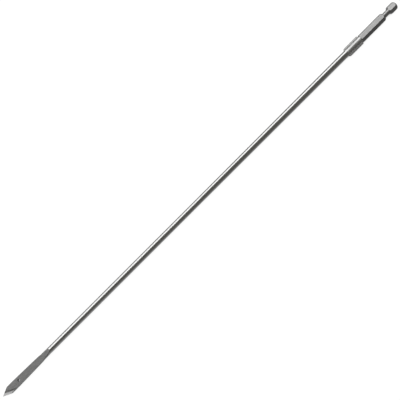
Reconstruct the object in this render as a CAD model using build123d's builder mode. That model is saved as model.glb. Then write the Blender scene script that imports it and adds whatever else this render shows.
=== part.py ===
from build123d import *

import os
from math import cos, radians, sin, sqrt, tan

# Extra-long 1/4 in spade bit with a grooved 1/4 in hexagonal quick-change shank, in millimetres.
# It lies along X with its point at -X, on one flat of the hexagon, so its blade's broad faces are level.
# The origin is under the middle of the bit, at the height of that flat. Right-hand cutting: seen from the
# shank, the bit turns clockwise.

# Whole bit
overall_length = 444.5  # 17 1/2 in, from the point to the end of the shank

# Hexagonal shank
hex_flats = 6.35  # 1/4 in across flats
hex_edge_radius = 0.3
hex_length = 26.0  # gripping length between the collar and the groove
hex_start_chamfer = 0.45  # radial, where the hexagon rises out of the collar
hex_start_length = 0.6

# Detent groove for the balls of a quick-change chuck
neck_d = 4.35
neck_length = 4.2
groove_wall_length = 0.5  # the steep side, towards the collar
groove_edge_chamfer = 0.9  # radial, on the edge of the steep side
groove_edge_length = 1.4
cone_length = 1.8  # the sloping side, towards the free end

# Free end of the shank, beyond the groove
head_length = 7.35
end_round_length = 2.8
end_face_d = 3.0

# Collar: the bar with two ears swaged out of it, level with the blade
collar_length = 16.5
collar_d = 6.15
collar_body_inset = 0.5  # the ears start this far ahead of the thicker bar
collar_cone_length = 1.1
ear_span = 8.2
ear_thickness = 2.4
ear_ramp_length = 1.5  # on the side of the shaft
ear_hex_gap = 0.5  # from the ears to the hexagon
ear_corner_radius = 0.6
ear_edge_radius = 0.5

# Round shaft, which grows a little towards the collar
shaft_d = 5.15
shaft_rear_d = 5.7
swell_length = 165.0
shaft_overlap = 2.0  # how far the round bar is carried on inside the blade

# Flat blade, with places counted from the point
blade_width = 6.35  # 1/4 in, the diameter that it cuts
blade_thickness = 3.0
blade_widest_to = 15.9  # the blade narrows from here
waist_at = 40.7  # here it is as wide as the shaft
root_at = 46.5  # here its corners have sunk into the shaft
root_inset = 0.06  # how far under the shaft's surface they end
flat_to = 42.5  # here the broad faces leave the level and curve out of the shaft
runout_length = 10.7

# Ground point
point_angle = 51.0
relief_angle = 12.0
rake_angle = 18.0
lip_hollow_width = 3.3  # the hollow that a wheel grinds into the leading face along each lip

# Hole through the blade, for hanging the bit up or pulling a wire back
hole_at = 18.2
hole_d = 2.3

# Places worked out from the sizes
axis_height = hex_flats / 2
hex_corner_r = hex_flats / sqrt(3)
end_x = overall_length / 2
tip_x = -end_x
head_x = end_x - head_length
neck_end_x = head_x - cone_length
neck_x = neck_end_x - neck_length
groove_x = neck_x - groove_wall_length
hex_x = groove_x - hex_length
collar_x = hex_x - collar_length
collar_body_x = collar_x + collar_body_inset
swell_x = collar_x - swell_length
widest_x = tip_x + blade_widest_to
waist_x = tip_x + waist_at
root_x = tip_x + root_at
flat_x = tip_x + flat_to
runout_x = flat_x + runout_length
half_blade = blade_thickness / 2
half_point = radians(point_angle / 2)
relief_slope = tan(radians(relief_angle))
rake_slope = tan(radians(rake_angle))

# The lips of a point without relief would meet here, ahead of the real point
apex_x = tip_x - half_blade * relief_slope / sin(half_point)

# The broad faces curve out of the shaft on this radius, and are this high above the axis at the root
runout_rise = shaft_d / 2 - half_blade
runout_radius = (runout_length**2 + runout_rise**2) / (2 * runout_rise)
root_half_height = half_blade + runout_radius - sqrt(runout_radius**2 - (root_x - flat_x) ** 2)
root_half_width = sqrt((shaft_d / 2) ** 2 - root_half_height**2) - root_inset

# The ears leave the shaft's surface where it is this wide at their own height
ear_root_half_width = sqrt((shaft_rear_d / 2) ** 2 - (ear_thickness / 2) ** 2)

# Planes, and the line through the middle of the bar
bit_axis = Axis((0, 0, axis_height), (1, 0, 0))
side_plane = Plane(origin=(0, 0, axis_height), x_dir=(1, 0, 0), z_dir=(0, -1, 0))
level_plane = Plane.XY.offset(axis_height)
hex_plane = Plane(origin=(hex_x, 0, axis_height), x_dir=(0, 1, 0), z_dir=(1, 0, 0))

# Cutting shapes reach this far past the bar
reach = hex_flats


def lip_plane(side):
    """The plane square to a lip at the apex: X points into the blade, Y to the lip's leading face."""
    along = (cos(half_point), -side * sin(half_point), 0)
    inward = (sin(half_point), side * cos(half_point), 0)
    return Plane(origin=(apex_x, 0, axis_height), x_dir=inward, z_dir=along)


# The collar's two ears as one plate through the bar, with a ramp towards the shaft and rounded corners
# towards the hexagon
with BuildPart() as ears:
    with BuildSketch(level_plane):
        with BuildLine():
            Polyline(
                (collar_x, 0),
                (collar_x, ear_root_half_width),
                (collar_x + ear_ramp_length, ear_span / 2),
                (hex_x - ear_hex_gap, ear_span / 2),
                (hex_x - ear_hex_gap, 0),
                close=True,
            )
        make_face()
        fillet(vertices().group_by(Axis.Y)[-1], ear_corner_radius)
        mirror(about=Plane.XZ)
    extrude(amount=ear_thickness / 2, both=True)
    fillet(faces().filter_by(Axis.Z).edges(), ear_edge_radius)

with BuildPart() as spade_bit:
    # Hexagonal bar of the shank, with one flat below and one above
    with BuildSketch(hex_plane):
        RegularPolygon(radius=hex_flats / 2, side_count=6, major_radius=False)
        fillet(vertices(), hex_edge_radius)
    extrude(amount=end_x - hex_x)

    # What turning leaves of the bar: its chamfers, the detent groove and the rounded end
    with BuildSketch(side_plane):
        with BuildLine():
            nose = (end_x - end_round_length, hex_corner_r)
            end_rim = (end_x, end_face_d / 2)
            Polyline(
                end_rim,
                (end_x, 0),
                (hex_x, 0),
                (hex_x, hex_corner_r - hex_start_chamfer),
                (hex_x + hex_start_length, hex_corner_r),
                (groove_x - groove_edge_length, hex_corner_r),
                (groove_x, hex_corner_r - groove_edge_chamfer),
                (neck_x, neck_d / 2),
                (neck_end_x, neck_d / 2),
                (head_x, hex_corner_r),
                nose,
            )
            TangentArc(nose, end_rim, tangent=(1, 0))
        make_face()
    revolve(axis=bit_axis, mode=Mode.INTERSECT)

    # Flat blade: it narrows straight back to its waist, then curves in until its corners sink into the shaft
    with BuildSketch(level_plane):
        with BuildLine():
            Polyline(
                (root_x, root_half_width),
                (root_x, 0),
                (apex_x, 0),
                (apex_x, blade_width / 2),
                (widest_x, blade_width / 2),
                (waist_x, shaft_d / 2),
            )
            TangentArc(
                (waist_x, shaft_d / 2),
                (root_x, root_half_width),
                tangent=(waist_x - widest_x, (shaft_d - blade_width) / 2),
            )
        make_face()
        mirror(about=Plane.XZ)
    extrude(amount=shaft_d / 2, both=True)

    # Round shaft and the thicker bar of the collar
    with BuildSketch(side_plane):
        with BuildLine():
            Polyline(
                (waist_x - shaft_overlap, 0),
                (waist_x - shaft_overlap, shaft_d / 2),
                (swell_x, shaft_d / 2),
                (collar_x, shaft_rear_d / 2),
                (collar_body_x, shaft_rear_d / 2),
                (collar_body_x + collar_cone_length, collar_d / 2),
                (hex_x, collar_d / 2),
                (hex_x, 0),
                close=True,
            )
        make_face()
    revolve(axis=bit_axis)

    # Broad faces of the blade, above and below, which run out on the shaft in a long curve
    with BuildSketch(side_plane):
        with BuildLine():
            TangentArc((flat_x, half_blade), (runout_x, shaft_d / 2), tangent=(1, 0))
            Polyline(
                (runout_x, shaft_d / 2),
                (runout_x, reach),
                (apex_x, reach),
                (apex_x, half_blade),
                (flat_x, half_blade),
            )
        make_face()
        mirror(about=Plane.XZ)
    extrude(amount=reach, both=True, mode=Mode.SUBTRACT)

    # Ground point: relief behind each lip, and a hollow with its own rake in the leading face
    for side in (1, -1):
        with BuildSketch(lip_plane(side)):
            with BuildLine():
                Polyline(
                    (-reach * relief_slope, half_blade + reach),
                    (-reach, half_blade + reach),
                    (-reach, -half_blade - reach),
                    ((blade_thickness + reach) * relief_slope, -half_blade - reach),
                    close=True,
                )
            make_face()
            with BuildLine():
                TangentArc((0, half_blade), (lip_hollow_width, half_blade), tangent=(1, -rake_slope))
                Polyline(
                    (lip_hollow_width, half_blade),
                    (lip_hollow_width, half_blade + reach),
                    (-reach, half_blade + reach),
                    (-reach, half_blade),
                    (0, half_blade),
                )
            make_face()
        extrude(amount=blade_widest_to + reach, both=True, mode=Mode.SUBTRACT)

    # Hole through the blade
    with BuildSketch(level_plane):
        with Locations((tip_x + hole_at, 0)):
            Circle(hole_d / 2)
    extrude(amount=reach, both=True, mode=Mode.SUBTRACT)

    # Ears of the collar
    add(ears.part)

spade_bit.part.label = "spade_bit"

os.makedirs("parts", exist_ok=True)
export_step(spade_bit.part, "parts/spade_bit.step")
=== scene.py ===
from math import cos, pi, radians, sin

import bpy
from mathutils import Matrix, Vector


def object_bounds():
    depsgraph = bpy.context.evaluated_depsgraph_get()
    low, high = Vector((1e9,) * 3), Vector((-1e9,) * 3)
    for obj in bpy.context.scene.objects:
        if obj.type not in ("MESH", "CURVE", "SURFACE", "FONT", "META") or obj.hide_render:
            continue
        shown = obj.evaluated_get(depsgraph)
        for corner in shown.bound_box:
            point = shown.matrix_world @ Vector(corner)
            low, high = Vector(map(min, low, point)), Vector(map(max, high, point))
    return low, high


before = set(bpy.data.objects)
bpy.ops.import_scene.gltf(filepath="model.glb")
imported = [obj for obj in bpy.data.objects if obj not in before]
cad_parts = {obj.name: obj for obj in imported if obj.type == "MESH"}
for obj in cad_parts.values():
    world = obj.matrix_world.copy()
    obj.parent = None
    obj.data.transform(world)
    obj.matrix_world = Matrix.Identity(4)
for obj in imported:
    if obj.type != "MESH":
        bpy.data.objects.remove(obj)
cad_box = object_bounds()
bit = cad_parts["spade_bit"]

# Places on the bit, in metres: X runs from the point to the free end of the shank
tip_x = cad_box[0][0]
end_x = cad_box[1][0]
axis_height = cad_box[1][2] / 2
apex_x = tip_x - 0.00074  # the lips would meet here if they had no relief
point_half_angle = radians(25.5)
lip_hollow_width = 0.0033
blade_half_width = 0.003175
blade_half_thickness = 0.0015
relief_depth = 0.00064
hole_x = tip_x + 0.0182
hole_radius = 0.00115
point_end_x = tip_x + 0.0200
polish_start_x = tip_x + 0.0470
polish_full_x = tip_x + 0.0510
runout_end_x = tip_x + 0.0535
shaft_radius = 0.002575
collar_x = end_x - 0.05635
collar_radius = 0.003075
ear_half_span = 0.0041
hex_x = end_x - 0.03985
collar_middle_x = (collar_x + hex_x) / 2 + 0.0003
hex_corner_radius = 0.00354
groove_x = end_x - 0.01385
cone_x = end_x - 0.00915
hair = 0.00003  # how far a mask stays clear of the next surface


class Nodes:
    """Builds a node tree one node at a time."""

    def __init__(self, tree):
        tree.nodes.clear()
        self.tree = tree

    def add(self, kind, inputs=None, **settings):
        node = self.tree.nodes.new(kind)
        for name, value in settings.items():
            setattr(node, name, value)
        for name, value in (inputs or {}).items():
            socket = node.inputs[name]
            if isinstance(value, bpy.types.NodeSocket):
                self.tree.links.new(value, socket)
            else:
                socket.default_value = value
        return node

    def math(self, operation, *values):
        return self.add("ShaderNodeMath", dict(enumerate(values)), operation=operation).outputs[0]

    def product(self, first, *others):
        for other in others:
            first = self.math("MULTIPLY", first, other)
        return first

    def total(self, first, *others):
        for other in others:
            first = self.math("ADD", first, other)
        return first

    def over(self, value, low):
        return self.math("GREATER_THAN", value, low)

    def under(self, value, high):
        return self.math("LESS_THAN", value, high)

    def between(self, value, low, high):
        """1 from low to high, 0 elsewhere."""
        return self.product(self.over(value, low), self.under(value, high))

    def rise(self, value, low, high):
        """0 up to low, 1 from high on, smooth in between."""
        inputs = {"Value": value, "From Min": low, "From Max": high}
        return self.add("ShaderNodeMapRange", inputs, interpolation_type="SMOOTHSTEP").outputs["Result"]

    def pick(self, otherwise, *choices):
        """The value of the last choice whose mask is 1, or else the first value."""
        value = otherwise
        for mask, chosen in choices:
            inputs = {"Factor": mask, "A": value, "B": chosen}
            value = self.add("ShaderNodeMix", inputs, data_type="FLOAT").outputs["Result"]
        return value

    def vector(self, x, y, z):
        return self.add("ShaderNodeCombineXYZ", {0: x, 1: y, 2: z}).outputs[0]

    def noise(self, place, per_metre, detail=2.0):
        """Noise round 0, from about -0.5 to 0.5, with its own fineness along each axis."""
        stretched = self.add("ShaderNodeVectorMath", {0: place, 1: per_metre}, operation="MULTIPLY")
        inputs = {"Vector": stretched.outputs[0], "Scale": 1.0, "Detail": detail}
        return self.math("SUBTRACT", self.add("ShaderNodeTexNoise", inputs).outputs[0], 0.5)


# The camera looks square across the bit, 72.2 degrees above its broad faces, with the shank up and right
elevation = radians(72.2)
roll = radians(45)
distance = 0.65
middle = Vector((0.0004, -0.0001, axis_height))
bit_in_picture = 554.75 / 400  # the bit's length in widths of the picture
sensor_width = 36
towards = Vector((0, -cos(elevation), sin(elevation)))
along = Vector((1, 0, 0))
across = (-towards).cross(along)


def place_camera():
    right = along * cos(roll) + across * sin(roll)
    up = along * sin(roll) - across * cos(roll)
    data = bpy.data.cameras.new("camera")
    camera = bpy.data.objects.new("camera", data)
    bpy.context.scene.collection.objects.link(camera)
    turn = Matrix((right, up, towards)).transposed().to_4x4()
    camera.matrix_world = Matrix.Translation(middle + towards * distance) @ turn
    data.sensor_width = sensor_width
    data.lens = sensor_width * distance * bit_in_picture / (end_x - tip_x)
    data.clip_start = 0.01
    data.clip_end = 20
    bpy.context.scene.camera = camera


def softbox(name, to_left, to_shank, length, width, away, radiance):
    """A lamp facing the bit, turned from the camera to the top left and then towards the shank's end."""
    square = towards * cos(radians(to_left)) - across * sin(radians(to_left))
    facing = square * cos(radians(to_shank)) + along * sin(radians(to_shank))
    lengthwise = along * cos(radians(to_shank)) - square * sin(radians(to_shank))
    data = bpy.data.lights.new(name, "AREA")
    data.shape = "RECTANGLE"
    data.size = length
    data.size_y = width
    data.energy = radiance * pi * length * width
    lamp = bpy.data.objects.new(name, data)
    bpy.context.scene.collection.objects.link(lamp)
    turn = Matrix((lengthwise, facing.cross(lengthwise), facing)).transposed().to_4x4()
    lamp.matrix_world = Matrix.Translation(middle + facing * away) @ turn


def light_the_room():
    """One long softbox over the top left side, a smaller one past each end, and a dim grey room."""
    softbox("long softbox", 53, 0, 3.4, 0.88, 0.9, 1.87)
    softbox("softbox past the point", 95, -68, 0.9, 1.0, 1.1, 1.5)
    softbox("softbox past the shank", 95, 68, 0.9, 1.0, 1.1, 1.5)
    world = bpy.data.worlds.new("room")
    bpy.context.scene.world = world
    world.use_nodes = True
    n = Nodes(world.node_tree)
    seen = n.add("ShaderNodeLightPath").outputs["Is Camera Ray"]
    grey = n.add("ShaderNodeBackground", {"Color": (0.134, 0.130, 0.118, 1)})
    white = n.add("ShaderNodeBackground", {"Color": (1, 1, 1, 1)})
    walls = n.add("ShaderNodeMixShader", {0: seen, 1: grey.outputs[0], 2: white.outputs[0]})
    n.add("ShaderNodeOutputWorld", {"Surface": walls.outputs[0]})


def lay_floor():
    """White paper with a painted shadow and a painted reflection: the camera sees it white, dimmed where
    the bit hides it, and the steel mirrors a glow that only glossy rays see, paler behind the bit and close
    to it than far in front of it.
    """
    bpy.ops.mesh.primitive_plane_add(size=6, location=(0, 0, 0))
    floor = bpy.context.object
    floor.name = "floor"
    paper = bpy.data.materials.new("paper")
    paper.use_nodes = True
    n = Nodes(paper.node_tree)
    place = n.add("ShaderNodeSeparateXYZ", {0: n.add("ShaderNodeTexCoord").outputs["Object"]})
    x, y = place.outputs["X"], place.outputs["Y"]
    path = n.add("ShaderNodeLightPath")
    openness = n.add("ShaderNodeAmbientOcclusion", {"Distance": 0.006}, samples=16).outputs["AO"]
    # Painted shadow: the white the camera sees is dimmed where ambient occlusion finds the bit over the
    # floor, under it and at its edges.
    paper_white_with_painted_shadow = n.product(n.rise(openness, 0.0, 0.5), 0.975)
    seen = n.math("MAXIMUM", path.outputs["Is Camera Ray"], path.outputs["Is Transmission Ray"])
    # Painted reflection: the floor glows only for glossy rays, at a level set by place, lighter behind the
    # bit, close to it and on the point's half.
    behind = n.product(n.rise(y, -0.002, 0.004), 0.07)
    close = n.product(n.rise(y, -0.009, -0.004), 0.28)
    point_half = n.product(n.rise(x, 0.2, -0.2), 0.08)
    painted_reflection_glow = n.total(0.15, behind, close, point_half)
    glow = n.total(n.product(seen, paper_white_with_painted_shadow), n.product(path.outputs["Is Glossy Ray"], painted_reflection_glow))
    white = n.add("ShaderNodeEmission", {"Color": (1, 1, 1, 1), "Strength": glow})
    sheet = n.add("ShaderNodeBsdfDiffuse", {"Color": (0.09, 0.09, 0.09, 1)})
    both = n.add("ShaderNodeAddShader", {0: sheet.outputs[0], 1: white.outputs[0]})
    n.add("ShaderNodeOutputMaterial", {"Surface": both.outputs[0]})
    floor.data.materials.append(paper)


class Places:
    """Masks for the parts of the bit that have their own finish, and for the bands that get a painted
    highlight.
    """

    def __init__(self, n):
        self.place = n.add("ShaderNodeTexCoord").outputs["Object"]
        xyz = n.add("ShaderNodeSeparateXYZ", {0: self.place})
        x, y = xyz.outputs["X"], xyz.outputs["Y"]
        z = n.math("SUBTRACT", xyz.outputs["Z"], axis_height)
        radius = n.math("SQRT", n.total(n.product(y, y), n.product(z, z)))
        half_span = n.math("ABSOLUTE", y)
        self.half_span = half_span
        height = n.math("ABSOLUTE", z)

        # Broad faces, edges and hole of the blade
        round_bar = n.rise(x, polish_start_x, polish_full_x)
        normal = n.add("ShaderNodeSeparateXYZ", {0: n.add("ShaderNodeNewGeometry").outputs["True Normal"]})
        sloping = n.over(n.math("ABSOLUTE", normal.outputs["X"]), 0.06)
        sunk = n.math("MAXIMUM", sloping, n.under(radius, shaft_radius - hair))
        broad_face = n.product(sunk, n.under(x, runout_end_x))
        blade_end = n.math("SUBTRACT", 1.0, round_bar)
        self.blade = n.math("MAXIMUM", blade_end, broad_face)
        inside_faces = n.under(height, blade_half_thickness - hair)
        self.blade_edges = n.product(inside_faces, blade_end)
        centre = (hole_x, 0, 0)
        from_hole = n.add("ShaderNodeVectorMath", {0: n.vector(x, y, 0.0), 1: centre}, operation="DISTANCE")
        near_hole = n.under(from_hole.outputs["Value"], hole_radius + 0.0001)
        self.hole_wall = n.product(inside_faces, near_hole)

        # What is ground at the point: the hollow along each lip, on its leading side, and the relief
        from_apex = n.product(n.math("SUBTRACT", x, apex_x), sin(point_half_angle))
        leading = n.product(n.math("SIGN", z), y, cos(point_half_angle))
        inside_edges = n.under(half_span, blade_half_width - hair)
        near_lip = n.under(n.total(from_apex, leading), lip_hollow_width)
        hollow = n.product(near_lip, inside_edges, n.under(x, point_end_x))
        from_outline = n.math("SUBTRACT", from_apex, n.product(half_span, cos(point_half_angle)))
        relief = n.product(inside_faces, n.under(from_outline, relief_depth + hair))
        self.ground = n.math("MAXIMUM", hollow, relief)
        outwards = n.product(half_span, sin(point_half_angle))
        self.along_lip = n.total(n.product(x, cos(point_half_angle)), outwards)

        # Collar, shank and neck
        on_collar = n.between(x, collar_x, hex_x)
        self.collar = n.between(x, collar_x + 0.0008, hex_x)
        # Painted highlight: the collar's ends are given a lighter colour for the glints that light puts
        # there.
        from_collar_middle = n.math("ABSOLUTE", n.math("SUBTRACT", x, collar_middle_x))
        self.collar_ends_painted_highlight = n.product(self.collar, n.rise(from_collar_middle, 0.0052, 0.0066))
        self.ears = n.product(on_collar, n.over(half_span, collar_radius - 0.00015))
        # Painted highlight: the outer edges of the ears are given a lighter colour for the light that their
        # rounded edges catch.
        self.ear_edges_painted_highlight = n.product(on_collar, n.over(half_span, ear_half_span - 0.0004))
        self.shank = n.over(x, hex_x)
        corners = n.rise(radius, hex_corner_radius - 0.0001, hex_corner_radius)
        self.shank_corners = n.product(self.shank, corners)
        self.neck = n.between(x, groove_x, cone_x)
        self.head = n.over(x, cone_x)


def surface_marks(n, places):
    """Height in metres of the marks left by forging and grinding, and how light their streaks are."""
    stains = n.noise(places.place, (260, 700, 700), 3.0)
    rings = n.noise(places.place, (3600, 90, 90), 3.0)
    long_scratches = n.noise(places.place, (70, 3200, 3200), 3.0)
    forged_skin = n.noise(places.place, (1500, 1500, 1500), 4.0)
    wheel_marks = n.noise(n.vector(places.along_lip, 0.0, 0.0), (3600, 1, 1), 3.0)
    height = n.pick(
        n.product(rings, 0.000006),
        (places.collar, n.product(forged_skin, 0.000040)),
        (places.ears, n.product(places.half_span, -0.20)),
        (places.shank, n.product(long_scratches, 0.000012)),
        (places.neck, n.product(rings, 0.000020)),
        (places.blade, n.total(n.product(long_scratches, 0.000020), n.product(forged_skin, 0.000020))),
        (places.ground, n.product(wheel_marks, 0.000012)),
    )
    streaks = n.pick(
        n.product(rings, 0.16),
        (places.collar, n.product(forged_skin, 0.30)),
        (places.shank, n.product(long_scratches, 0.30)),
        (places.blade, n.product(long_scratches, 0.40)),
        (places.ground, n.product(wheel_marks, 0.30)),
    )
    return height, n.total(streaks, n.product(stains, 0.28))


def make_steel():
    """Polished shaft, satin shank and collar, dull blade and ears, bright ground hollows at the lips, with
    painted highlights on the collar's ends and the ears' outer edges.
    """
    steel = bpy.data.materials.new("steel")
    steel.use_nodes = True
    n = Nodes(steel.node_tree)
    places = Places(n)
    height, marks = surface_marks(n, places)
    lightness = n.pick(
        0.55,
        (places.collar, 0.50),
        # painted highlight on the collar's ends
        (places.collar_ends_painted_highlight, 0.56),
        (places.ears, 0.33),
        # painted highlight on the ears' outer edges
        (places.ear_edges_painted_highlight, 0.60),
        (places.shank, 0.265),
        (places.shank_corners, 0.36),
        (places.neck, 0.36),
        (places.head, 0.30),
        (places.blade, 0.165),
        (places.blade_edges, 0.42),
        (places.hole_wall, 0.165),
        (places.ground, 0.25),
    )
    roughness = n.pick(
        0.23,
        (places.collar, 0.42),
        (places.ears, 0.52),
        (places.shank, 0.32),
        (places.neck, 0.42),
        (places.blade, 0.55),
        (places.ground, 0.32),
    )
    marked = n.product(lightness, n.total(1.0, marks))
    uneven = n.product(roughness, n.math("SUBTRACT", 1.0, n.product(marks, 0.5)))
    colour = n.add("ShaderNodeCombineColor", {0: marked, 1: marked, 2: marked})
    bump = n.add("ShaderNodeBump", {"Height": height, "Distance": 1.0, "Strength": 1.0})
    finish = {"Base Color": colour.outputs[0], "Metallic": 1.0, "Roughness": uneven}
    surface = n.add("ShaderNodeBsdfPrincipled", {**finish, "Normal": bump.outputs[0]})
    n.add("ShaderNodeOutputMaterial", {"Surface": surface.outputs[0]})
    for slot in bit.material_slots:
        slot.material = steel


place_camera()
light_the_room()
lay_floor()
make_steel()

bpy.context.scene.view_settings.view_transform = "Standard"
